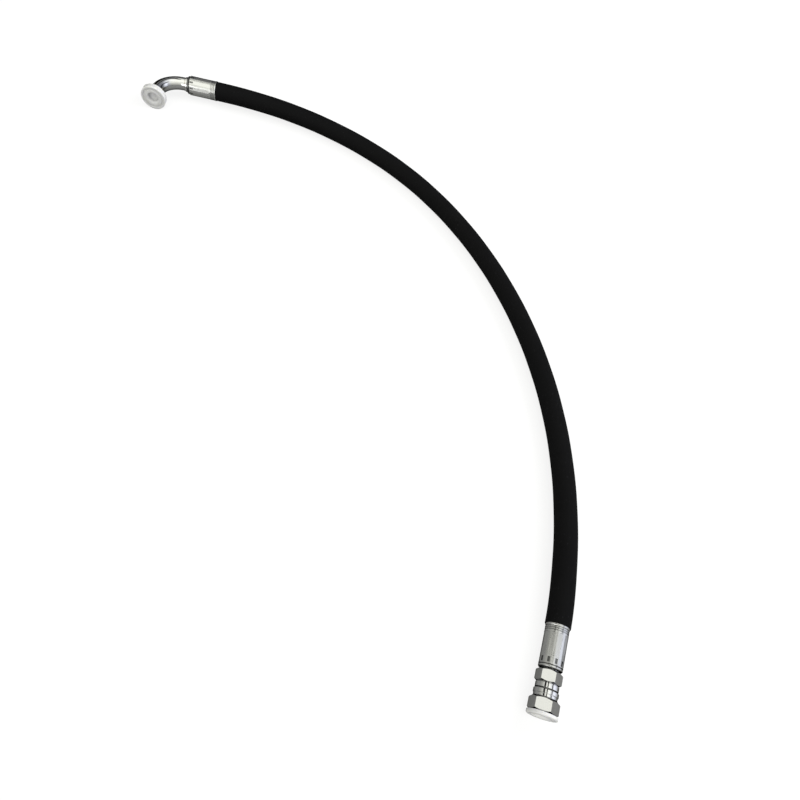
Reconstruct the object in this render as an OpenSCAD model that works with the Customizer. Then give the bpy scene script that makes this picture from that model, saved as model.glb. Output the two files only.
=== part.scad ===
// Hydraulic hose assembly: a four-spiral high-pressure hose with a straight swivel at one end
// and a 90 degree flange elbow at the other, lying on a floor at z = 0.
// Along each fitting, u is the distance from the ferrule's mouth, outwards from the hose.

/* [Hose] */
// Bore of the hose
bore_d = 19; // [16:0.5:22]
// Wall of the rubber inner tube
tube_wall = 1.7; // [1.2:0.1:2.4]
// Thickness of one spiral wire ply
ply_wall = 0.5; // [0.4:0.05:0.7]
// Thickness of the rubber cushion between two plies
cushion_wall = 0.3; // [0.2:0.05:0.5]
// Wall of the rubber cover
cover_wall = 2; // [1.5:0.1:3]

/* [Ferrules] */
// Length of a crimped ferrule
ferrule_len = 52; // [44:1:64]
// Steel left round the squeezed hose in the straight fitting's ferrule
ferrule_wall = 1.4; // [1.2:0.1:3]
// Steel left round the squeezed hose in the elbow's heavier ferrule
elbow_ferrule_wall = 3; // [1.2:0.1:4]
// How far the turned mouth stands out from the body
mouth_rise = 0.4; // [0.2:0.05:0.8]
// Dies of the crimping press, each of which leaves a flat
crimp_dies = 10; // [8:2:12]
// Share of its thickness that the hose wall keeps under the ferrule
squeeze = 0.78; // [0.75:0.01:0.95]

/* [Nipples] */
// Least wall of a nipple, under the roots of its barbs
nipple_wall = 1.3; // [0.8:0.1:2]
// Depth of the barbs
barb_depth = 0.5; // [0.3:0.05:0.8]
// Crest of the barbs below the hose's bore
tail_play = 0.2; // [0.1:0.05:0.4]
// Pitch of the barbs on a nipple's tail
barb_pitch = 5; // [4:0.5:8]
// Thickness of the collar that the hose end butts against
stop_wall = 2; // [1.5:0.1:3]
// Width of the ferrule's inner lip, which is closed into the nipple's groove
lock_w = 3.5; // [2.5:0.1:5]

/* [Straight fitting] */
// Across flats of the fixed hexagon
stem_flats = 28; // [25:0.1:32]
// Length of the fixed hexagon
stem_hex_len = 13.8; // [8:0.2:16]
// Turn of the fixed hexagon about its axis as it lies
stem_turn = 52; // [0:1:59]
// Diameter of the polished neck between the fixed hexagon and the nut
neck_d = 28; // [26:0.2:30]
// Length of the polished neck
neck_len = 7; // [4:0.5:14]
// Diameter of the journal that the nut turns on
journal_d = 22; // [20:0.1:25]
// How far the flared nose stands out from the journal
nose_rise = 1; // [0.8:0.05:1.3]
// Angle of the concave sealing seat in the nose, from the axis
seat_angle = 37; // [30:1:45]

/* [Swivel nut] */
// Across flats of the nut
nut_flats = 31.75; // [30:0.05:38]
// Length of the nut's hexagon
nut_hex_len = 15.5; // [12:0.5:20]
// Wall of the closed-in tail round the journal
nut_tail_wall = 3.9; // [2:0.1:4.5]
// Length of the closed-in tail, with its groove
nut_tail_len = 9.5; // [8:0.5:14]
// Minor diameter of the 1 1/16-12 thread
thread_d = 24.8; // [24.6:0.02:25.2]
// Depth of the plain lead-in at the mouth
leadin_len = 3.5; // [2.5:0.1:4.5]
// Turn of the nut about its axis as it lies
nut_turn = 52; // [0:1:59]

/* [Elbow fitting] */
// Outside diameter of the bent tube
elbow_d = 22; // [20:0.5:25.5]
// Wall of the nipple's socket round the bent tube
socket_wall = 1.4; // [1:0.1:2.5]
// Bore of the bent tube
elbow_bore = 17; // [14:0.5:19]
// Centreline radius of the bend
bend_r = 38.6; // [32:0.2:60]
// Straight tube between the ferrule and the bend
elbow_lead = 9; // [7:0.5:30]
// Distance from the end of the bend to the sealing face
flange_reach = 18; // [15:0.5:30]

/* [Flange head] */
// Diameter of the flange head
flange_d = 38.1; // [36:0.1:48]
// Thickness of the flange head's rim
flange_t = 6.7; // [6:0.1:10]
// Diameter of the neck behind the rim
flange_neck_d = 31.7; // [30:0.1:34]
// Port in the flange's face
port_d = 19; // [17:0.5:20]
// Outside diameter of the groove in the face
groove_d = 31.9; // [31:0.1:33]
// Width of the groove in the face
groove_w = 3.9; // [3.6:0.1:4.4]
// Depth of the groove in the face
groove_depth = 2.8; // [2.5:0.1:3]
// Room on each side of the sealing ring in its groove
ring_room = 0.25; // [0.15:0.05:0.4]

/* [Plastic protectors] */
// Wall of the protectors
cap_wall = 1; // [0.8:0.1:2.5]
// Room between the flange head's rim and the cap's skirt
skirt_gap = 1.05; // [1.05:0.05:1.5]
// Width of the lip around the cap's disc
lip_w = 0.2; // [0.2:0.1:2]
// Diameter of the nut plug's rim
plug_d = 37; // [35:0.5:42]
// Height of the nut plug's rim
plug_rim = 4.5; // [3:0.5:10]

/* [Hidden] */

$fn = 96;
bite = 0.01;
seat = 0.1;
slip = 0.05;

// Hose radii, from the bore outwards: tube, then ply and cushion in turn, then the cover
bore_r = bore_d / 2;
function ply_in(i) = bore_r + tube_wall + (i - 1) * (ply_wall + cushion_wall);
function ply_out(i) = ply_in(i) + ply_wall;
wire_r = ply_out(4);
hose_r = wire_r + cover_wall;

// The tube is swept with this many sides, drawn round its true circle
sides = 12;
around = 1 / cos(180 / sides);

// Route of the hose in plan, from the elbow's ferrule to the swivel's ferrule
route = [
    [-357, 407.4], [-280.2, 421], [-202.4, 426.7], [-124.6, 422.1], [-48.2, 406.5], [25.2, 380],
    [94.2, 343.8], [158.1, 299.1], [216.5, 247.4], [269, 189.7], [315.5, 127.1], [355.6, 60.1],
    [388.9, -10.4], [414.8, -83.9], [433, -159.8], [443.5, -237.1], [446.6, -315]
];
last = len(route) - 1;
elbow_heading = 192;
straight_heading = -91.5;

// Heights: the hose lies on the floor, and both ends rise to rest on their widest piece
cap_r = flange_d / 2 + skirt_gap + cap_wall + lip_w;
nut_corner_r = nut_flats / 2 / cos(30);
elbow_z = max(cap_r, hose_r) + slip;
straight_z = max(nut_corner_r, plug_d / 2, hose_r) + slip;
rise_rings = 4;
function ease(t) = t <= 0 ? 0 : t >= 1 ? 1 : t * t * (3 - 2 * t);
function route_z(i) = hose_r + (elbow_z - hose_r) * ease(1 - i / rise_rings)
    + (straight_z - hose_r) * ease(1 - (last - i) / rise_rings);
function at(i) = [route[i].x, route[i].y, route_z(i)];
function heading(a) = [cos(a), sin(a), 0];

// Ferrule stations along u
flare_u = 6;
hose_end_u = ferrule_len - lock_w - stop_wall;
lock_u = ferrule_len - lock_w;

// Radii under the crimp
tail_r = bore_r - tail_play;
function squeezed(r) = tail_r + (r - bore_r) * squeeze;
crimp_r = squeezed(wire_r) * around + slip;
stop_r = crimp_r - slip;
bore_in_r = tail_r - barb_depth - nipple_wall;
lock_r = bore_in_r + 4.2;

// Straight fitting stations along u
stem_u = ferrule_len + 2.2;
neck_u = stem_u + stem_hex_len;
journal_u = neck_u + neck_len;
nut_u = journal_u + 0.5;
nut_hex_u = nut_u + nut_tail_len;
nut_end_u = nut_hex_u + nut_hex_len;
leadin_u = nut_end_u - leadin_len;
nose_u = nut_hex_u + 0.6;
thread_u = nose_u + 0.3;
shoulder_u = nut_u + 4;
nose_len = nose_u - shoulder_u - 0.4;
nose_r = journal_d / 2 + nose_rise;
leadin_r = thread_d / 2 + 1.2;
seat_r = nose_r - 0.7;
seat_depth = (seat_r - bore_in_r) / tan(seat_angle);
play = 0.08;
nut_tail_r = journal_d / 2 + play + nut_tail_wall;

// Elbow stations: u along the ferrule, v from its axis towards the flange's face
socket_u = ferrule_len + 0.8;
socket_end_u = ferrule_len + 4;
bend_u = ferrule_len + elbow_lead;
face_u = bend_u + bend_r;
face_v = bend_r + flange_reach;
rim_v = face_v - flange_t;
head_back_v = bend_r + 1.2;
tube_end_v = face_v - 6;
socket_r = elbow_d / 2 + socket_wall;
oring_t = groove_w - 2 * ring_room;
oring_r = groove_d / 2 - slip - oring_t / 2;

// Local frames
module at_elbow() translate(at(0)) rotate([0, 0, elbow_heading]) children();
module along_elbow() at_elbow() rotate([0, 90, 0]) children();
module along_flange() at_elbow() translate([face_u, 0, 0]) rotate([-90, 0, 0]) children();
module along_straight() translate(at(last)) rotate([0, 90, straight_heading]) children();

// Shapes used by several pieces
module turned(profile) rotate_extrude() polygon(profile);
module rod(r, from, to) translate([0, 0, from]) cylinder(r = r, h = to - from);
module bevelled(flats, from, to, back, front) intersection() {
    translate([0, 0, from]) cylinder(r = flats / 2 / cos(30), h = to - from, $fn = 6);
    turned([
        [0, from], [flats / 2 - back, from], [flats / 2 / cos(30), from + back * 0.9 + 1.2],
        [flats / 2 / cos(30), to - front * 0.9 - 1.2], [flats / 2 - front, to], [0, to]
    ]);
}

// Hose layers: each station holds its centre, its tangent and how far the wall is squeezed
function unit(v) = v / norm(v);
function station(c, t, s) = [c, unit(t), s];
function along(i) = i == 0 ? -heading(elbow_heading)
    : i == last ? heading(straight_heading)
    : unit(at(i + 1) - at(i)) + unit(at(i) - at(i - 1));
free_run = [for (i = [0:last]) station(at(i), along(i), 0)];
function crimped(i, out, us) = [
    for (u = us) station(at(i) + u * heading(out), i == 0 ? -heading(out) : heading(out), 1)
];
full_run = concat(
    crimped(0, elbow_heading, [hose_end_u, flare_u]), free_run,
    crimped(last, straight_heading, [flare_u, hose_end_u])
);
function ring(s, r) = let (
    side = unit(cross(s[1], [0, 0, 1])),
    up = cross(side, s[1]),
    rr = around * (s[2] == 1 ? squeezed(r) : r)
) [for (k = [0:sides - 1]) let (a = (k + 0.5) * 360 / sides) s[0] + rr * (cos(a) * side + sin(a) * up)];

module layer(run, inner, outer) {
    n = len(run);
    span = n * sides;
    points = concat([for (s = run) each ring(s, outer)], [for (s = run) each ring(s, inner)]);
    function p(i, k, skin) = skin * span + i * sides + (k % sides);
    faces = concat(
        [for (i = [0:n - 2]) for (k = [0:sides - 1]) each [
            [p(i, k, 0), p(i + 1, k, 0), p(i + 1, k + 1, 0)],
            [p(i, k, 0), p(i + 1, k + 1, 0), p(i, k + 1, 0)],
            [p(i, k, 1), p(i + 1, k + 1, 1), p(i + 1, k, 1)],
            [p(i, k, 1), p(i, k + 1, 1), p(i + 1, k + 1, 1)]
        ]],
        [for (k = [0:sides - 1]) each [
            [p(0, k, 0), p(0, k + 1, 0), p(0, k + 1, 1)],
            [p(0, k, 0), p(0, k + 1, 1), p(0, k, 1)],
            [p(n - 1, k, 0), p(n - 1, k + 1, 1), p(n - 1, k + 1, 0)],
            [p(n - 1, k, 0), p(n - 1, k, 1), p(n - 1, k + 1, 1)]
        ]]
    );
    polyhedron(points, faces);
}

module hose_cover() color("#1c1c1e") layer(free_run, wire_r, hose_r);
module hose_ply(i) color("#b8923f") layer(full_run, ply_in(i), ply_out(i));
module hose_cushion(i) color("#2a2a2c") layer(full_run, ply_out(i), ply_in(i + 1));
module hose_inner_tube() color("#232325") layer(full_run, bore_r, ply_in(1));

// Barbed tail, stop collar and lock groove, the same on both nipples
module nipple_tail() {
    barbs = floor((hose_end_u - 6) / barb_pitch);
    turned([
        [0, 3], [tail_r - barb_depth - 0.2, 3], [tail_r - bite, 4.2],
        for (i = [0:barbs - 1]) each [
            [tail_r - bite, 6 + i * barb_pitch],
            [tail_r - barb_depth, 6 + i * barb_pitch],
            [tail_r - bite, 6 + (i + 0.8) * barb_pitch]
        ],
        [tail_r - bite, hose_end_u], [0, hose_end_u]
    ]);
    rod(stop_r, hose_end_u, lock_u);
    rod(lock_r, lock_u - 1, ferrule_len + 1);
}

// Crimped ferrule: turned rings at the mouth, a flat from each die, and a lip closed into the groove
module ferrule(wall) {
    groove = 0.8;
    body_r = crimp_r + wall;
    mouth_r = body_r + mouth_rise;
    lip_r = body_r - max(0, wall - ferrule_wall) * 0.8;
    grips = floor((hose_end_u - 11) / 8);
    flat_r = body_r - 0.25;
    flats_u = 11;
    mark_u = lock_u - 8;
    mark_len = 6;
    flats_end_u = mark_u + mark_len + 0.6;
    difference() {
        intersection() {
            turned([
                [0, 0], [mouth_r - 0.4, 0], [mouth_r, 0.4], [mouth_r, 2],
                for (i = [0:2]) each [
                    [body_r, 2.6 + i * 2.4], [body_r - 0.35, 2.8 + i * 2.4],
                    [body_r - 0.35, 2.8 + groove + i * 2.4], [body_r, 3 + groove + i * 2.4]
                ],
                [body_r, flats_end_u], [lip_r, lock_u - 0.4], [lip_r - 0.6, lock_u],
                [lip_r - 0.6, lock_u + 0.5], [lip_r - 0.1, lock_u + 1],
                [lip_r - 0.1, ferrule_len - 1], [lip_r - 0.9, ferrule_len],
                [0, ferrule_len]
            ]);
            union() {
                rod(mouth_r + 1, 0, flats_u);
                rotate([0, 0, 180 / crimp_dies]) translate([0, 0, flats_u - 1])
                    cylinder(r = flat_r / cos(180 / crimp_dies), h = flats_end_u - flats_u + 2, $fn = crimp_dies);
                rod(mouth_r + 1, flats_end_u, ferrule_len);
            }
        }
        turned([
            [0, -1], [wire_r * around + slip + 0.155, -1], [wire_r * around + slip, 0], [crimp_r, flare_u],
            for (i = [0:grips - 1]) each [
                [crimp_r, 11 + i * 8], [crimp_r + 0.5, 11.5 + i * 8],
                [crimp_r + 0.5, 14 + i * 8], [crimp_r, 14.5 + i * 8]
            ],
            [crimp_r, lock_u], [lock_r + slip, lock_u], [lock_r + slip, ferrule_len + 1], [0, ferrule_len + 1]
        ]);
        for (i = [0:crimp_dies - 1]) rotate([0, 0, i * 360 / crimp_dies])
            translate([body_r - 0.75, -1.5, mark_u]) cube([2, 3, mark_len]);
    }
}

module straight_ferrule() color("#b9bcbf") along_straight() ferrule(ferrule_wall);
module elbow_ferrule() color("#b9bcbf") along_elbow() ferrule(elbow_ferrule_wall);

module straight_nipple() color("#c4c6c8") along_straight() difference() {
    union() {
        nipple_tail();
        rod(lock_r, lock_u, stem_u + 1);
        rotate([0, 0, stem_turn]) bevelled(stem_flats, stem_u, neck_u, 0.6, 0.6);
        turned([
            [0, neck_u - 1], [neck_d / 2 - 0.8, neck_u - 1], [neck_d / 2 - 0.8, neck_u + 0.8],
            [neck_d / 2, neck_u + 1.4], [neck_d / 2, journal_u - 0.5], [neck_d / 2 - 0.5, journal_u],
            [0, journal_u]
        ]);
        rod(journal_d / 2, journal_u - 1, nose_u - nose_len + 0.5);
        turned([
            [0, nose_u - nose_len], [journal_d / 2, nose_u - nose_len], [nose_r, nose_u - nose_len + 1],
            [nose_r, nose_u - 0.3], [nose_r - 0.3, nose_u], [0, nose_u]
        ]);
    }
    rod(bore_in_r, 0, nose_u + 1);
    turned([
        [0, nose_u - seat_depth], [bore_in_r, nose_u - seat_depth], [seat_r, nose_u],
        [seat_r, nose_u + 1], [0, nose_u + 1]
    ]);
}

module swivel_nut() color("#d0d1d2") along_straight() rotate([0, 0, nut_turn]) difference() {
    union() {
        turned([
            [0, nut_u], [nut_tail_r - 1.2, nut_u], [nut_tail_r, nut_u + 1.2],
            [nut_tail_r, nut_u + 5.2], [nut_tail_r - 0.8, nut_u + 6],
            [nut_tail_r - 0.8, nut_hex_u - 0.8], [nut_tail_r, nut_hex_u], [0, nut_hex_u]
        ]);
        bevelled(nut_flats, nut_hex_u, nut_end_u, 1.6, 0.9);
    }
    rod(journal_d / 2 + play, nut_u - 1, nut_end_u);
    rod(nose_r + 0.15, shoulder_u, nut_end_u);
    rod(thread_d / 2, thread_u, nut_end_u);
    rod(leadin_r, leadin_u, nut_end_u + 1);
}

module nut_plug() color("#e9e9f0") along_straight() difference() {
    turned([
        [0, leadin_u + 0.4], [leadin_r - 0.6, leadin_u + 0.4], [leadin_r - slip, leadin_u + 1],
        [leadin_r - slip, nut_end_u + seat], [plug_d / 2 - 0.6, nut_end_u + seat],
        [plug_d / 2, nut_end_u + seat + 0.6], [plug_d / 2, nut_end_u + plug_rim - 1],
        [plug_d / 2 - 1, nut_end_u + plug_rim], [0, nut_end_u + plug_rim]
    ]);
    turned([
        [0, leadin_u + 0.4 + cap_wall], [leadin_r - cap_wall - 1, leadin_u + 0.4 + cap_wall],
        [leadin_r - cap_wall, nut_end_u + plug_rim + 1], [0, nut_end_u + plug_rim + 1]
    ]);
}

module elbow_nipple() color("#c4c6c8") along_elbow() difference() {
    union() {
        nipple_tail();
        turned([
            [0, ferrule_len], [socket_r - 0.4, ferrule_len], [socket_r, ferrule_len + 0.4],
            [socket_r, socket_end_u], [0, socket_end_u]
        ]);
    }
    rod(bore_in_r, 0, socket_end_u + 1);
    rod(elbow_d / 2, socket_u, socket_end_u + 1);
}

module elbow_solid(r, from, to) {
    rotate([0, 90, 0]) rod(r, from, bend_u);
    translate([bend_u, bend_r, 0]) rotate([0, 0, -90]) rotate_extrude(angle = 90)
        translate([bend_r, 0]) circle(r);
    translate([face_u, 0, 0]) rotate([-90, 0, 0]) rod(r, bend_r, to);
}

module elbow_tube() color("#c9cacb") at_elbow() difference() {
    elbow_solid(elbow_d / 2, socket_u, tube_end_v);
    elbow_solid(elbow_bore / 2, socket_u - 1, tube_end_v + 1);
}

// Fillet of braze metal round the tube, against a face at zero
module braze_fillet(r, w) rotate_extrude() difference() {
    translate([r, 0]) square(w);
    translate([r + w, w]) circle(w);
}

module nipple_braze_ring() color("#b79a5a") along_elbow() translate([0, 0, socket_end_u])
    braze_fillet(elbow_d / 2, 1);

module head_braze_ring() color("#b79a5a") along_flange() translate([0, 0, head_back_v])
    mirror([0, 0, 1]) braze_fillet(elbow_d / 2, 1);

module flange_head() color("#c4c6c8") along_flange() difference() {
    union() {
        turned([
            [0, head_back_v], [elbow_d / 2 + 1.6, head_back_v], [flange_neck_d / 2, head_back_v + 3],
            [flange_neck_d / 2, rim_v], [0, rim_v]
        ]);
        turned([
            [0, rim_v], [flange_d / 2 - 0.5, rim_v], [flange_d / 2, rim_v + 0.5],
            [flange_d / 2, face_v - 0.5], [flange_d / 2 - 0.5, face_v], [0, face_v]
        ]);
    }
    rod(elbow_d / 2, head_back_v - 1, tube_end_v);
    rod(port_d / 2, tube_end_v - 1, face_v + 1);
    difference() {
        rod(groove_d / 2, face_v - groove_depth, face_v + 1);
        rod(groove_d / 2 - groove_w, face_v - groove_depth - 1, face_v + 2);
    }
}

module flange_oring() color("#202022") along_flange() translate([0, 0, face_v - groove_depth])
    rotate_extrude() translate([oring_r, oring_t / 2]) circle(oring_t / 2);

// Flange cap: a disc with a lip, a skirt over the rim and a hollow stem in the port
module flange_cap() color("#ececf2") along_flange() {
    disc_v = face_v + seat;
    top_v = disc_v + 2.4;
    stem_r = port_d / 2 - 0.15;
    stem_v = tube_end_v + 0.6;
    relief = oring_t - groove_depth + 0.6;
    skirt_r = flange_d / 2 + skirt_gap;
    difference() {
        turned([
            [0, stem_v], [stem_r - 0.6, stem_v], [stem_r, stem_v + 1],
            [stem_r, disc_v + relief], [groove_d / 2 + 0.6, disc_v + relief],
            [groove_d / 2 + 0.6, disc_v], [flange_d / 2 - 1, disc_v],
            [flange_d / 2 - 0.6, disc_v + 0.3], [skirt_r, disc_v + 0.3],
            [skirt_r, rim_v - 1], [skirt_r + cap_wall, rim_v - 1],
            [skirt_r + cap_wall, disc_v - 1], [cap_r, disc_v - 0.2], [cap_r, top_v - 0.8],
            [cap_r - 0.8, top_v], [0, top_v]
        ]);
        turned([
            [0, stem_v + cap_wall], [stem_r - cap_wall, stem_v + cap_wall],
            [stem_r - cap_wall + 0.2, top_v - 2], [stem_r + 1, top_v + 0.01], [0, top_v + 0.01]
        ]);
        translate([0, 0, top_v - 0.9]) difference() {
            cylinder(r = cap_r - 3, h = 2);
            translate([0, 0, -1]) cylinder(r = cap_r - 6.4, h = 4);
        }
    }
}

hose_cover();
hose_ply(4);  // hose_spiral_ply_4
hose_cushion(3);  // hose_cushion_3
hose_ply(3);  // hose_spiral_ply_3
hose_cushion(2);  // hose_cushion_2
hose_ply(2);  // hose_spiral_ply_2
hose_cushion(1);  // hose_cushion_1
hose_ply(1);  // hose_spiral_ply_1
hose_inner_tube();
straight_nipple();
straight_ferrule();
swivel_nut();
nut_plug();
elbow_nipple();
elbow_ferrule();
elbow_tube();
nipple_braze_ring();
flange_head();
head_braze_ring();
flange_oring();
flange_cap();
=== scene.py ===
import math

import bpy
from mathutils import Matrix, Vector


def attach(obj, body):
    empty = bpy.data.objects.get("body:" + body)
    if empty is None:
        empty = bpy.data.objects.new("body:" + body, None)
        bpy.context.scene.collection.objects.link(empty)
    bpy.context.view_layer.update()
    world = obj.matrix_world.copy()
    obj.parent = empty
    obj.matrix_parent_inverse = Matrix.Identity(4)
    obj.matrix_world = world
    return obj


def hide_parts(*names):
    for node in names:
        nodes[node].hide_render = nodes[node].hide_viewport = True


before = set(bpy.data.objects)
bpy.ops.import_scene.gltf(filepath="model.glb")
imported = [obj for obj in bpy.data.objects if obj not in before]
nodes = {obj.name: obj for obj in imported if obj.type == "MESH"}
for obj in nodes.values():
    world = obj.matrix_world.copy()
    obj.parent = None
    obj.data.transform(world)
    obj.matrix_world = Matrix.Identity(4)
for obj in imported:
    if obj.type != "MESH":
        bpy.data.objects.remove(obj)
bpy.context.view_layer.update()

# View: the assembly lies on the floor and is seen from 59 degrees above its swivel end, a little
# turned, so that the arc opens to the left and both fittings show their upper sides.
scene = bpy.context.scene
scene.view_settings.view_transform = "Standard"
bpy.ops.object.camera_add(
    location=(0.1599, -0.5132, 0.73577),
    rotation=(math.radians(29.13), math.radians(-10.476), math.radians(17.435)),
)
camera = bpy.context.object
camera.data.lens = 25.92
camera.data.sensor_width = 36
camera.data.clip_end = 20
scene.camera = camera

# Hose: four-spiral rubber hose of 32.2 mm, 1.25 m between its two ferrules. Its cover is black
# synthetic rubber, cured under a wound cloth tape that leaves its weave and its edges in it.
hose_radius = 0.0161
hose_wall = 0.0064
straight_heading = -91.5
elbow_heading = 192.0
route = [
    (-0.3570, 0.4074, 0.02135), (-0.2802, 0.4210, 0.02053), (-0.2024, 0.4267, 0.01873),
    (-0.1246, 0.4221, 0.01692), (-0.0482, 0.4065, 0.01610), (0.0252, 0.3800, 0.01610),
    (0.0942, 0.3438, 0.01610), (0.1581, 0.2991, 0.01610), (0.2165, 0.2474, 0.01610),
    (0.2690, 0.1897, 0.01610), (0.3155, 0.1271, 0.01610), (0.3556, 0.0601, 0.01610),
    (0.3889, -0.0104, 0.01610), (0.4148, -0.0839, 0.01648), (0.4330, -0.1598, 0.01733),
    (0.4435, -0.2371, 0.01817), (0.4466, -0.3150, 0.01855),
]
elbow_out = Vector((math.cos(math.radians(elbow_heading)), math.sin(math.radians(elbow_heading)), 0))
straight_out = Vector((math.cos(math.radians(straight_heading)), math.sin(math.radians(straight_heading)), 0))

bpy.ops.object.select_all(action="DESELECT")
bpy.ops.curve.primitive_bezier_curve_add(radius=1)
hose = bpy.context.object
hose.name = "hose"
bend = hose.data
bend.splines.clear()
spline = bend.splines.new("BEZIER")
spline.bezier_points.add(len(route) - 1)
for point, place in zip(spline.bezier_points, route):
    point.co = place
    point.handle_left_type = point.handle_right_type = "AUTO"
first, final = spline.bezier_points[0], spline.bezier_points[-1]
handle = 0.026
for point in (first, final):
    point.handle_left_type = point.handle_right_type = "FREE"
first.handle_right = Vector(route[0]) - handle * elbow_out
first.handle_left = Vector(route[0]) + handle * elbow_out
final.handle_left = Vector(route[-1]) - handle * straight_out
final.handle_right = Vector(route[-1]) + handle * straight_out
rings_between = 20
spline.resolution_u = rings_between
bend.dimensions = "3D"
bend.twist_mode = "MINIMUM"
bend.fill_mode = "FULL"
bend.bevel_depth = hose_radius
bend.bevel_resolution = 14
bpy.ops.object.convert(target="MESH")
hose = bpy.context.object

# Each ring of the tube keeps how far along the hose it is and where each point is round it, so
# that the cloth's marks follow the hose through its bend.
rings = rings_between * (len(route) - 1) + 1
round_count = len(hose.data.vertices) // rings
places = [v.co.copy() for v in hose.data.vertices]
centres = [
    sum(places[r * round_count:(r + 1) * round_count], Vector()) / round_count for r in range(rings)
]
runs = [0.0]
for before, after in zip(centres, centres[1:]):
    runs.append(runs[-1] + (after - before).length)
straightened = hose.data.attributes.new("along_hose", "FLOAT_VECTOR", "POINT")
for index in range(len(places)):
    angle = 2 * math.pi * (index % round_count) / round_count
    straightened.data[index].vector = (
        runs[index // round_count], hose_radius * math.cos(angle), hose_radius * math.sin(angle)
    )
wall = hose.modifiers.new("wall", "SOLIDIFY")
wall.thickness = hose_wall
wall.offset = -1
bpy.ops.object.modifier_apply(modifier="wall")
bpy.ops.object.shade_smooth_by_angle(angle=math.radians(40))


def tint(hex_colour):
    """A colour written as sRGB hex, as the linear values that Blender's sockets take."""
    parts = [int(hex_colour[i:i + 2], 16) / 255 for i in (1, 3, 5)]
    return [c / 12.92 if c <= 0.04045 else ((c + 0.055) / 1.055) ** 2.4 for c in parts] + [1]


def add(tree, kind, inputs=None, **settings):
    """Adds a node with its settings. An input is a value, or a socket that is linked to it."""
    made = tree.nodes.new(kind)
    for name, value in settings.items():
        setattr(made, name, value)
    for name, value in (inputs or {}).items():
        if isinstance(value, bpy.types.NodeSocket):
            tree.links.new(value, made.inputs[name])
        else:
            made.inputs[name].default_value = value
    return made


# Cloth-wrapped synthetic rubber: dull black, with the weave of the tape pressed in at 1.2 mm, a
# faint step at each turn of the tape, a grain of about 1 mm and grey dust in the weave. The real
# weave is about 0.5 mm, and is drawn coarser so that it shows.
thread_spacing = 0.0012
threads_round_hose = 84
tape_step = 1 / 18
rubber = bpy.data.materials.new("wrapped_synthetic_rubber")
rubber.use_nodes = True
tree = rubber.node_tree
shader = tree.nodes["Principled BSDF"]
space = add(tree, "ShaderNodeAttribute", attribute_name="along_hose").outputs["Vector"]
split = add(tree, "ShaderNodeSeparateXYZ", {0: space})
turn = add(tree, "ShaderNodeMath", {0: split.outputs[2], 1: split.outputs[1]}, operation="ARCTAN2")
threads_round = add(
    tree, "ShaderNodeMath", {0: turn.outputs[0], 1: threads_round_hose}, operation="MULTIPLY",
)
threads_along = add(
    tree, "ShaderNodeMath", {0: split.outputs[0], 1: 2 * math.pi / thread_spacing}, operation="MULTIPLY",
)
both_counts = {0: threads_round.outputs[0], 1: threads_along.outputs[0]}
warp = add(tree, "ShaderNodeMath", both_counts, operation="ADD")
weft = add(tree, "ShaderNodeMath", both_counts, operation="SUBTRACT")
warp_wave = add(tree, "ShaderNodeMath", {0: warp.outputs[0]}, operation="SINE")
weft_wave = add(tree, "ShaderNodeMath", {0: weft.outputs[0]}, operation="SINE")
weave = add(
    tree, "ShaderNodeMath", {0: warp_wave.outputs[0], 1: weft_wave.outputs[0]}, operation="MULTIPLY",
)
tape_along = add(tree, "ShaderNodeMath", {0: split.outputs[0], 1: 1 / tape_step}, operation="MULTIPLY")
tape_round = add(tree, "ShaderNodeMath", {0: turn.outputs[0], 1: 1 / (2 * math.pi)}, operation="MULTIPLY")
tape = add(tree, "ShaderNodeMath", {0: tape_along.outputs[0], 1: tape_round.outputs[0]}, operation="ADD")
tape_part = add(tree, "ShaderNodeMath", {0: tape.outputs[0]}, operation="FRACT")
tape_edge = add(tree, "ShaderNodeMapRange", {0: tape_part.outputs[0], 1: 0.0, 2: 0.03, 3: 0.0, 4: 1.0})
grain = add(tree, "ShaderNodeTexNoise", {"Vector": space, "Scale": 900.0, "Detail": 4.0, "Roughness": 0.6})
clouds = add(tree, "ShaderNodeTexNoise", {"Vector": space, "Scale": 35.0, "Detail": 5.0, "Roughness": 0.55})
dust = add(tree, "ShaderNodeTexNoise", {"Vector": space, "Scale": 420.0, "Detail": 2.0})
specks = add(tree, "ShaderNodeMapRange", {0: dust.outputs["Fac"], 1: 0.68, 2: 0.76, 3: 0.0, 4: 1.0})
ground = add(tree, "ShaderNodeMix", {
    0: clouds.outputs["Fac"], 6: tint("#0a0a0b"), 7: tint("#161617"),
}, data_type="RGBA")
dusted = add(tree, "ShaderNodeMix", {
    0: specks.outputs[0], 6: ground.outputs[2], 7: tint("#2b2b2e"),
}, data_type="RGBA")
dull = add(tree, "ShaderNodeMapRange", {0: clouds.outputs["Fac"], 1: 0.3, 2: 0.7, 3: 0.62, 4: 0.8})
relief = add(tree, "ShaderNodeMath", {
    0: weave.outputs[0], 1: 0.35, 2: tape_edge.outputs[0],
}, operation="MULTIPLY_ADD")
rough_relief = add(tree, "ShaderNodeMath", {
    0: grain.outputs["Fac"], 1: 0.8, 2: relief.outputs[0],
}, operation="MULTIPLY_ADD")
bump = add(tree, "ShaderNodeBump", {
    "Height": rough_relief.outputs[0], "Strength": 0.35, "Distance": 0.0003,
})
tree.links.new(dusted.outputs[2], shader.inputs["Base Color"])
tree.links.new(dull.outputs[0], shader.inputs["Roughness"])
tree.links.new(bump.outputs[0], shader.inputs["Normal"])
shader.inputs["IOR"].default_value = 1.5
shader.inputs["Specular IOR Level"].default_value = 0.08
hose.data.materials.clear()
hose.data.materials.append(rubber)

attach(hose, "root")
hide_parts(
    "hose_cover", "hose_spiral_ply_4", "hose_cushion_3", "hose_spiral_ply_3", "hose_cushion_2",
    "hose_spiral_ply_2", "hose_cushion_1", "hose_spiral_ply_1", "hose_inner_tube",
)

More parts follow.
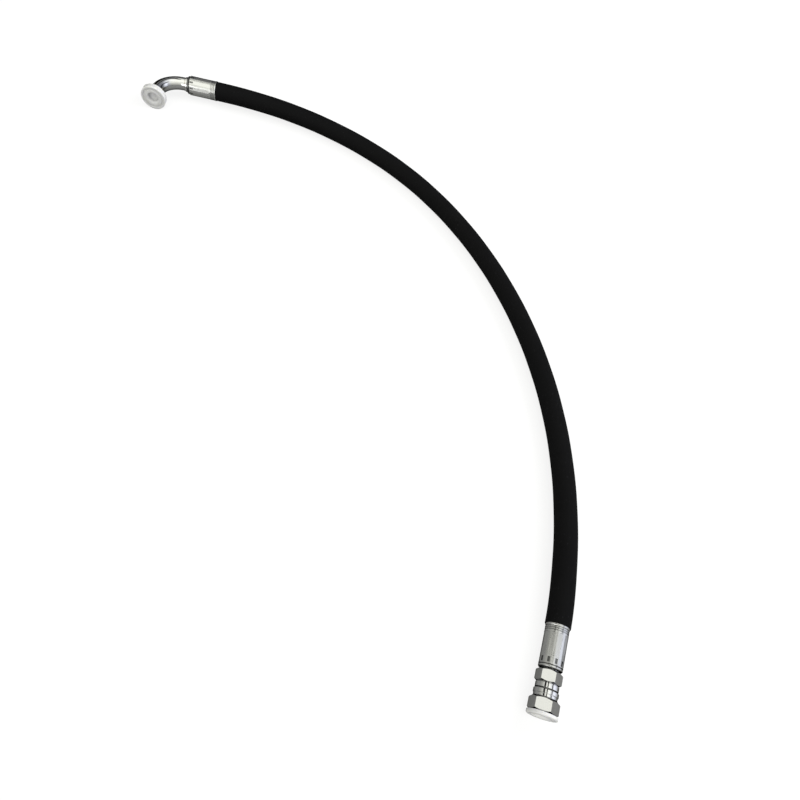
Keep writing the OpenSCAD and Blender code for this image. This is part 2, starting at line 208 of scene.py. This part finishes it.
# Crimped ferrules: mild-steel sleeves, turned with three fine rings at the mouth, zinc plated, and
# pressed on by ten dies, whose marks stand round the far end.
mark_depth = 0.00045
mark_edge = 0.00028
for name, mouth, heading, body_radius in (
    ("straight_ferrule", route[-1], straight_heading, 0.01479),
    ("elbow_ferrule", route[0], elbow_heading, 0.01639),
):
    # The press leaves the plate satin, with faint wrinkles along the sleeve, 2 to 3 mm apart and
    # some 10 mm long, rubbed patches of about 7 mm and a frost of 0.4 mm. The die marks and the
    # grooves are painted dark as shade.
    crimped = bpy.data.materials.new("pressed_zinc_plated_steel_" + name)
    crimped.use_nodes = True
    tree = crimped.node_tree
    shader = tree.nodes["Principled BSDF"]
    here = add(tree, "ShaderNodeTexCoord").outputs["Object"]
    from_mouth = add(tree, "ShaderNodeVectorMath", {0: here, 1: mouth}, operation="SUBTRACT")
    lengthwise = add(tree, "ShaderNodeMapping", {
        "Vector": from_mouth.outputs[0], "Rotation": (0, 0, math.radians(-heading)),
    })
    across = add(tree, "ShaderNodeVectorMath", {0: lengthwise.outputs[0], 1: (0, 1, 1)}, operation="MULTIPLY")
    radius = add(tree, "ShaderNodeVectorMath", {0: across.outputs[0]}, operation="LENGTH")
    # Painted shade: the die marks, which lie below the sleeve's surface, are darkened.
    raised = add(tree, "ShaderNodeMapRange", {
        0: radius.outputs["Value"], 1: body_radius - mark_depth, 2: body_radius - mark_edge, 3: 0.25, 4: 1.0,
    })
    drawn_out = add(
        tree, "ShaderNodeMapping", {"Vector": lengthwise.outputs[0], "Scale": (0.25, 1, 1)},
    )
    wrinkles = add(tree, "ShaderNodeTexNoise", {
        "Vector": drawn_out.outputs[0], "Scale": 420.0, "Detail": 3.0, "Roughness": 0.5, "Distortion": 0.6,
    })
    patches = add(tree, "ShaderNodeTexNoise", {
        "Vector": drawn_out.outputs[0], "Scale": 150.0, "Detail": 5.0, "Roughness": 0.6,
    })
    frost = add(tree, "ShaderNodeTexNoise", {"Vector": here, "Scale": 2500.0, "Detail": 2.0})
    plate = add(tree, "ShaderNodeMix", {
        0: patches.outputs["Fac"], 6: tint("#d2d4d2"), 7: tint("#f1f1ef"),
    }, data_type="RGBA")
    # Painted shade: ambient occlusion darkens the grooves and corners towards #161616.
    painted_shade_ao = add(tree, "ShaderNodeAmbientOcclusion", {"Distance": 0.003}, samples=8)
    open_part = add(tree, "ShaderNodeMapRange", {0: painted_shade_ao.outputs["AO"], 1: 0.5, 2: 0.85, 3: 0.0, 4: 1.0})
    unshaded = add(tree, "ShaderNodeMath", {0: open_part.outputs[0], 1: raised.outputs[0]}, operation="MULTIPLY")
    plate_with_painted_shade = add(tree, "ShaderNodeMix", {
        0: unshaded.outputs[0], 6: tint("#161616"), 7: plate.outputs[2],
    }, data_type="RGBA")
    satin = add(tree, "ShaderNodeMapRange", {0: patches.outputs["Fac"], 1: 0.35, 2: 0.65, 3: 0.2, 4: 0.38})
    height = add(tree, "ShaderNodeMath", {
        0: frost.outputs["Fac"], 1: 0.05, 2: wrinkles.outputs["Fac"],
    }, operation="MULTIPLY_ADD")
    bump = add(tree, "ShaderNodeBump", {"Height": height.outputs[0], "Strength": 0.14, "Distance": 0.0004})
    tree.links.new(plate_with_painted_shade.outputs[2], shader.inputs["Base Color"])
    tree.links.new(satin.outputs[0], shader.inputs["Roughness"])
    tree.links.new(bump.outputs[0], shader.inputs["Normal"])
    shader.inputs["Metallic"].default_value = 1
    shader.inputs["Specular Tint"].default_value = tint("#3a3a3a")
    nodes[name].data.materials.clear()
    nodes[name].data.materials.append(crimped)

# Nipples, nut, elbow tube and flange head: machined or drawn steel, bright zinc plated. Turned
# faces and the bent tube are polished almost to a mirror, the rolled flats of the hexagons keep a
# speckle of 0.7 mm, haze comes in clouds of about 9 mm, and the corners are painted dark as shade.
for name, polish, speckled in (
    ("straight_nipple", 0.06, 0.10), ("swivel_nut", 0.08, 0.16), ("elbow_nipple", 0.10, 0.06),
    ("elbow_tube", 0.07, 0.03), ("flange_head", 0.12, 0.06),
):
    bright = bpy.data.materials.new("bright_zinc_plated_steel_" + name)
    bright.use_nodes = True
    tree = bright.node_tree
    shader = tree.nodes["Principled BSDF"]
    here = add(tree, "ShaderNodeTexCoord").outputs["Object"]
    speckle = add(tree, "ShaderNodeTexNoise", {
        "Vector": here, "Scale": 1400.0, "Detail": 3.0, "Roughness": 0.6,
    })
    haze = add(tree, "ShaderNodeTexNoise", {
        "Vector": here, "Scale": 110.0, "Detail": 4.0, "Roughness": 0.55,
    })
    plate = add(tree, "ShaderNodeMix", {
        0: haze.outputs["Fac"], 6: tint("#dcdddc"), 7: tint("#f0f0ef"),
    }, data_type="RGBA")
    # Painted shade: ambient occlusion darkens the corners towards #161616.
    painted_shade_ao = add(tree, "ShaderNodeAmbientOcclusion", {"Distance": 0.003}, samples=8)
    unshaded = add(tree, "ShaderNodeMapRange", {0: painted_shade_ao.outputs["AO"], 1: 0.55, 2: 0.85, 3: 0.0, 4: 1.0})
    plate_with_painted_shade = add(tree, "ShaderNodeMix", {
        0: unshaded.outputs[0], 6: tint("#161616"), 7: plate.outputs[2],
    }, data_type="RGBA")
    gloss = add(tree, "ShaderNodeMapRange", {
        0: haze.outputs["Fac"], 1: 0.35, 2: 0.65, 3: polish - 0.03, 4: polish + 0.05,
    })
    bump = add(tree, "ShaderNodeBump", {
        "Height": speckle.outputs["Fac"], "Strength": speckled, "Distance": 0.0002,
    })
    tree.links.new(plate_with_painted_shade.outputs[2], shader.inputs["Base Color"])
    tree.links.new(gloss.outputs[0], shader.inputs["Roughness"])
    tree.links.new(bump.outputs[0], shader.inputs["Normal"])
    shader.inputs["Metallic"].default_value = 1
    shader.inputs["Specular Tint"].default_value = tint("#303030")
    nodes[name].data.materials.clear()
    nodes[name].data.materials.append(bright)

# Thread in the nut: 12 turns to the inch with flanks of sixty degrees and a narrow flat at the
# root, cut in the bore behind the lead-in of the mouth. A coil of the groove's own section cuts a
# copy of the nut, which is shown in its place.
thread_pitch = 0.0254 / 12
thread_turns = 5
thread_start = 0.0866
inside_radius, root_radius = 0.0122, 0.0135
inside_half, root_half = 0.00088, 0.00013
bpy.ops.object.select_all(action="DESELECT")
threaded_nut = bpy.data.objects.new("threaded_nut", nodes["swivel_nut"].data.copy())
scene.collection.objects.link(threaded_nut)
threaded_nut.select_set(True)
bpy.context.view_layer.objects.active = threaded_nut
bpy.ops.object.mode_set(mode="EDIT")
bpy.ops.mesh.select_all(action="SELECT")
bpy.ops.mesh.remove_doubles(threshold=0.000001)
bpy.ops.object.mode_set(mode="OBJECT")
bpy.ops.mesh.customdata_custom_splitnormals_clear()

bpy.ops.object.select_all(action="DESELECT")
bpy.ops.mesh.primitive_circle_add(vertices=4, radius=0.001, location=(0, 0, 0))
cutter = bpy.context.object
for corner, (out, along) in zip(cutter.data.vertices, (
    (inside_radius, -inside_half), (root_radius, -root_half), (root_radius, root_half),
    (inside_radius, inside_half),
)):
    corner.co = (out, 0, along)
coil = cutter.modifiers.new("coil", "SCREW")
coil.axis = "Z"
coil.screw_offset = thread_pitch
coil.iterations = thread_turns
coil.steps = coil.render_steps = 64
bpy.ops.object.modifier_apply(modifier="coil")
bpy.ops.object.mode_set(mode="EDIT")
bpy.ops.mesh.select_all(action="SELECT")
bpy.ops.mesh.fill_holes(sides=4)
bpy.ops.mesh.select_all(action="SELECT")
bpy.ops.mesh.normals_make_consistent(inside=False)
bpy.ops.object.mode_set(mode="OBJECT")
cutter.rotation_euler = straight_out.to_track_quat("Z", "Y").to_euler()
cutter.location = Vector(route[-1]) + thread_start * straight_out

bpy.ops.object.select_all(action="DESELECT")
threaded_nut.select_set(True)
bpy.context.view_layer.objects.active = threaded_nut
cut = threaded_nut.modifiers.new("cut", "BOOLEAN")
cut.object = cutter
cut.operation = "DIFFERENCE"
cut.solver = "EXACT"
bpy.ops.object.modifier_apply(modifier="cut")
bpy.data.objects.remove(cutter)
bpy.ops.object.shade_smooth_by_angle(angle=math.radians(25))
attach(threaded_nut, "swivel")
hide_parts("swivel_nut")

# Braze rings: fillets of brass-coloured filler metal, run round both joints of the elbow tube and
# wiped, which leaves a ripple of about 1 mm and a thin brown tarnish.
filler = bpy.data.materials.new("brass_braze_metal")
filler.use_nodes = True
tree = filler.node_tree
shader = tree.nodes["Principled BSDF"]
here = add(tree, "ShaderNodeTexCoord").outputs["Object"]
ripple = add(tree, "ShaderNodeTexNoise", {"Vector": here, "Scale": 900.0, "Detail": 3.0})
tarnish = add(tree, "ShaderNodeMix", {
    0: ripple.outputs["Fac"], 6: tint("#8f7a4c"), 7: tint("#cbb684"),
}, data_type="RGBA")
bump = add(tree, "ShaderNodeBump", {"Height": ripple.outputs["Fac"], "Strength": 0.3, "Distance": 0.0003})
tree.links.new(tarnish.outputs[2], shader.inputs["Base Color"])
tree.links.new(bump.outputs[0], shader.inputs["Normal"])
shader.inputs["Metallic"].default_value = 1
shader.inputs["Roughness"].default_value = 0.3
for name in ("nipple_braze_ring", "head_braze_ring"):
    nodes[name].data.materials.clear()
    nodes[name].data.materials.append(filler)

# Sealing ring: moulded nitrile rubber, pushed into the groove of the flange head. It is lightly
# oiled, so it is black with a soft sheen in patches of about 4 mm.
nitrile = bpy.data.materials.new("oiled_nitrile_rubber")
nitrile.use_nodes = True
tree = nitrile.node_tree
shader = tree.nodes["Principled BSDF"]
here = add(tree, "ShaderNodeTexCoord").outputs["Object"]
film = add(tree, "ShaderNodeTexNoise", {"Vector": here, "Scale": 260.0, "Detail": 4.0})
black = add(tree, "ShaderNodeMix", {
    0: film.outputs["Fac"], 6: tint("#0e0e0f"), 7: tint("#1c1c1d"),
}, data_type="RGBA")
sheen = add(tree, "ShaderNodeMapRange", {0: film.outputs["Fac"], 1: 0.35, 2: 0.65, 3: 0.28, 4: 0.5})
tree.links.new(black.outputs[2], shader.inputs["Base Color"])
tree.links.new(sheen.outputs[0], shader.inputs["Roughness"])
nodes["flange_oring"].data.materials.clear()
nodes["flange_oring"].data.materials.append(nitrile)


def turn_on_lathe(name, foot, out, profile):
    """Turns a closed piece: a disc is added at the profile's first point, and its rim is extruded
    from each point to the next. A point is the distance along the axis and the radius."""
    bpy.ops.object.select_all(action="DESELECT")
    start, radius = profile[0]
    bpy.ops.mesh.primitive_circle_add(
        vertices=96, radius=radius, fill_type="NGON", location=foot + start * out,
        rotation=out.to_track_quat("Z", "Y").to_euler(),
    )
    piece = bpy.context.object
    piece.name = name
    bpy.ops.object.mode_set(mode="EDIT")
    for (place, wide), (next_place, next_wide) in zip(profile, profile[1:]):
        bpy.ops.mesh.extrude_edges_move(TRANSFORM_OT_translate={"value": (next_place - place) * out})
        bpy.ops.transform.resize(
            value=(next_wide / wide,) * 3, center_override=foot + next_place * out,
        )
    bpy.ops.mesh.edge_face_add()
    bpy.ops.mesh.select_all(action="SELECT")
    bpy.ops.mesh.normals_make_consistent(inside=False)
    bpy.ops.object.mode_set(mode="OBJECT")
    bpy.ops.object.transform_apply(location=True, rotation=True, scale=True)
    soft_edges = piece.modifiers.new("soft_edges", "BEVEL")
    soft_edges.width = 0.00025
    soft_edges.segments = 2
    soft_edges.limit_method = "ANGLE"
    soft_edges.angle_limit = math.radians(25)
    bpy.ops.object.modifier_apply(modifier="soft_edges")
    bpy.ops.object.shade_smooth_by_angle(angle=math.radians(40))
    return piece


# Protectors: injection-moulded low-density polyethylene, milky white and a little translucent,
# with the soft sheen of a waxy surface. The flange cap has a ring groove, a hollow stem in the
# port and a skirt over the rim; the nut plug is a cup pushed into the nut's mouth.
straight_mouth = Vector(route[-1])
bend_corner = 0.0996
flange_out = Vector((-elbow_out.y, elbow_out.x, 0))
bend_end = Vector(route[0]) + bend_corner * elbow_out

# Each profile runs from the middle of the piece's outer face, round its rim and skirt, to the edge
# of its inner face, and a disc closes it at both ends.
cap = turn_on_lathe("flange_protector", bend_end, flange_out, [
    (0.0537, 0.0012), (0.0537, 0.0016), (0.0527, 0.0020), (0.0527, 0.00835), (0.0571, 0.00855),
    (0.0591, 0.01035), (0.0591, 0.0149), (0.0582, 0.0152), (0.0582, 0.0180), (0.0591, 0.0183),
    (0.0591, 0.0205), (0.0583, 0.0213), (0.0565, 0.0213), (0.0557, 0.0211), (0.0489, 0.0211),
    (0.0489, 0.0201), (0.0570, 0.0201), (0.0570, 0.01845), (0.0567, 0.01805), (0.0567, 0.01655),
    (0.0579, 0.01655), (0.0579, 0.00935), (0.0522, 0.00935), (0.0512, 0.00875),
])
plug = turn_on_lathe("nut_protector", straight_mouth, straight_out, [
    (0.0994, 0.0012), (0.0994, 0.0016), (0.0984, 0.0020), (0.0984, 0.0116), (0.1050, 0.01247),
    (0.1050, 0.0175), (0.1040, 0.0185), (0.1012, 0.0185), (0.1006, 0.0179), (0.1006, 0.01355),
    (0.0980, 0.01355), (0.0974, 0.0130),
])

# Moulded polyethylene: milk white, with faint clouds of 17 mm from the flow into the mould and a
# skin of 1.4 mm. The recesses are painted grey as shade.
wax = bpy.data.materials.new("moulded_polyethylene")
wax.use_nodes = True
tree = wax.node_tree
shader = tree.nodes["Principled BSDF"]
here = add(tree, "ShaderNodeTexCoord").outputs["Object"]
flow = add(tree, "ShaderNodeTexNoise", {"Vector": here, "Scale": 60.0, "Detail": 3.0})
milk = add(tree, "ShaderNodeMix", {
    0: flow.outputs["Fac"], 6: tint("#f1f1f4"), 7: tint("#fbfbfc"),
}, data_type="RGBA")
# Painted shade: ambient occlusion within 6 mm greys the recesses towards #bcbcbe.
painted_shade_ao = add(tree, "ShaderNodeAmbientOcclusion", {"Distance": 0.006}, samples=8)
depth = add(tree, "ShaderNodeMapRange", {0: painted_shade_ao.outputs["AO"], 1: 0.4, 2: 0.95, 3: 0.0, 4: 1.0})
milk_with_painted_shade = add(tree, "ShaderNodeMix", {
    0: depth.outputs[0], 6: tint("#bcbcbe"), 7: milk.outputs[2],
}, data_type="RGBA")
skin = add(tree, "ShaderNodeTexNoise", {"Vector": here, "Scale": 700.0, "Detail": 2.0})
bump = add(tree, "ShaderNodeBump", {"Height": skin.outputs["Fac"], "Strength": 0.08, "Distance": 0.0002})
tree.links.new(milk_with_painted_shade.outputs[2], shader.inputs["Base Color"])
tree.links.new(bump.outputs[0], shader.inputs["Normal"])
shader.inputs["Roughness"].default_value = 0.38
shader.inputs["IOR"].default_value = 1.51
shader.inputs["Subsurface Weight"].default_value = 0.3
shader.inputs["Subsurface Radius"].default_value = (0.0015, 0.0015, 0.0017)
shader.inputs["Subsurface Scale"].default_value = 1.0
for piece, node, body in ((cap, "flange_cap", "cap"), (plug, "nut_plug", "plug")):
    piece.data.materials.clear()
    piece.data.materials.append(wax)
    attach(piece, body)
    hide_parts(node)

# Floor and light: a pale seamless floor, and a studio whose ceiling is one broad soft light that
# fades towards the floor. A large lamp stands behind to the right, and a weak one in front to the
# left. The lamp behind isn't mirrored, as its square edge would show in the bent tube.
bpy.ops.object.select_all(action="DESELECT")
bpy.ops.mesh.primitive_plane_add(size=12, location=(0, 0, 0))
floor = bpy.context.object
floor.name = "floor"
paper = bpy.data.materials.new("white_paper_floor")
paper.use_nodes = True
tree = paper.node_tree
shader = tree.nodes["Principled BSDF"]
shader.inputs["Base Color"].default_value = tint("#868686")
shader.inputs["Roughness"].default_value = 0.9
shader.inputs["Specular IOR Level"].default_value = 0.0
path = add(tree, "ShaderNodeLightPath")
mirrored = add(tree, "ShaderNodeMath", {
    0: path.outputs["Is Glossy Ray"], 1: path.outputs["Is Transmission Ray"],
}, operation="MAXIMUM")
in_mirror = add(tree, "ShaderNodeMath", {0: mirrored.outputs[0], 1: 0.04}, operation="MULTIPLY")
lift = add(tree, "ShaderNodeMath", {
    0: path.outputs["Is Camera Ray"], 1: 0.82, 2: in_mirror.outputs[0],
}, operation="MULTIPLY_ADD")
shader.inputs["Emission Color"].default_value = (1, 1, 1, 1)
tree.links.new(lift.outputs[0], shader.inputs["Emission Strength"])
floor.data.materials.append(paper)

# The room: a dimmer back wall with three dark gaps between its screens, paler at the right, warm
# white in front and cool white behind.
world = bpy.data.worlds.new("studio")
scene.world = world
world.use_nodes = True
tree = world.node_tree
sky = tree.nodes["Background"]
direction = add(tree, "ShaderNodeTexCoord").outputs["Generated"]
towards_ceiling = add(
    tree, "ShaderNodeVectorMath", {0: direction, 1: (0.0, -0.2, 0.98)}, operation="DOT_PRODUCT",
)
dome = add(tree, "ShaderNodeValToRGB", {0: towards_ceiling.outputs["Value"]})
ramp = dome.color_ramp
ramp.elements[0].position, ramp.elements[0].color = 0.0, (0.36, 0.36, 0.36, 1)
ramp.elements[1].position, ramp.elements[1].color = 1.0, (1.3, 1.3, 1.3, 1)
for place, value in ((0.25, 0.42), (0.6, 0.72), (0.75, 0.95), (0.88, 1.02), (0.93, 1.25)):
    stop = ramp.elements.new(place)
    stop.color = (value, value, value, 1)
parts = add(tree, "ShaderNodeSeparateXYZ", {0: direction})
back_wall = add(tree, "ShaderNodeMapRange", {0: parts.outputs[1], 1: 0.3, 2: 0.55, 3: 1.0, 4: 0.3})
side = add(tree, "ShaderNodeMapRange", {0: parts.outputs[0], 1: -1.0, 2: 1.0, 3: 0.0, 4: 1.0})
gaps = add(tree, "ShaderNodeValToRGB", {0: side.outputs[0]})
ramp = gaps.color_ramp
ramp.elements[0].position, ramp.elements[0].color = 0.0, (0.9, 0.9, 0.9, 1)
ramp.elements[1].position, ramp.elements[1].color = 0.93, (2.0, 2.0, 2.0, 1)
blur = 0.015
for middle, half, depth in ((0.2, 0.05, 0.02), (0.4, 0.035, 0.02), (0.77, 0.03, 0.05)):
    for place, value in (
        (middle - half - blur, 1.0), (middle - half, depth), (middle + half, depth),
        (middle + half + blur, 1.0),
    ):
        stop = ramp.elements.new(place)
        stop.color = (value, value, value, 1)
across_room = add(
    tree, "ShaderNodeVectorMath", {0: direction, 1: (0.6, 0.8, 0.0)}, operation="DOT_PRODUCT",
)
cool = add(tree, "ShaderNodeMapRange", {0: across_room.outputs["Value"], 1: 0.1, 2: 0.6, 3: 0.0, 4: 1.0})
warmth = add(tree, "ShaderNodeMix", {
    0: cool.outputs[0], 6: (1.0, 1.0, 0.93, 1.0), 7: (0.93, 0.96, 1.08, 1.0),
}, data_type="RGBA")
behind = add(tree, "ShaderNodeMapRange", {0: parts.outputs[1], 1: -0.02, 2: 0.08, 3: 0.0, 4: 1.0})
screens = add(tree, "ShaderNodeMix", {
    0: behind.outputs[0], 6: (1.0, 1.0, 1.0, 1.0), 7: gaps.outputs[0],
}, data_type="RGBA")
lit = add(tree, "ShaderNodeVectorMath", {0: dome.outputs[0], 1: screens.outputs[2]}, operation="MULTIPLY")
tinted = add(tree, "ShaderNodeVectorMath", {0: lit.outputs[0], 1: warmth.outputs[2]}, operation="MULTIPLY")
room = add(
    tree, "ShaderNodeVectorMath", {0: tinted.outputs[0], "Scale": back_wall.outputs[0]}, operation="SCALE",
)
# The camera itself sees a white room behind the floor's far edge.
ray = add(tree, "ShaderNodeLightPath")
shown = add(tree, "ShaderNodeMix", {
    0: ray.outputs["Is Camera Ray"], 6: room.outputs[0], 7: (1.0, 1.0, 1.0, 1.0),
}, data_type="RGBA")
tree.links.new(shown.outputs[2], sky.inputs["Color"])
sky.inputs["Strength"].default_value = 1.0

for name, place, aim, size, energy, in_mirrors in (
    ("lamp_behind", (1.33, 1.11, 1.0), (0.1, 0.0, 0.0), 1.5, 30.0, False),
    ("lamp_in_front", (-0.9, -1.8, 0.6), (-0.1, 0.1, 0.0), 1.0, 6.0, True),
):
    bpy.ops.object.light_add(type="AREA", location=place)
    lamp = bpy.context.object
    lamp.name = name
    lamp.data.size = size
    lamp.data.energy = energy
    lamp.visible_glossy = in_mirrors
    lamp.rotation_euler = (Vector(aim) - lamp.location).to_track_quat("-Z", "Y").to_euler()
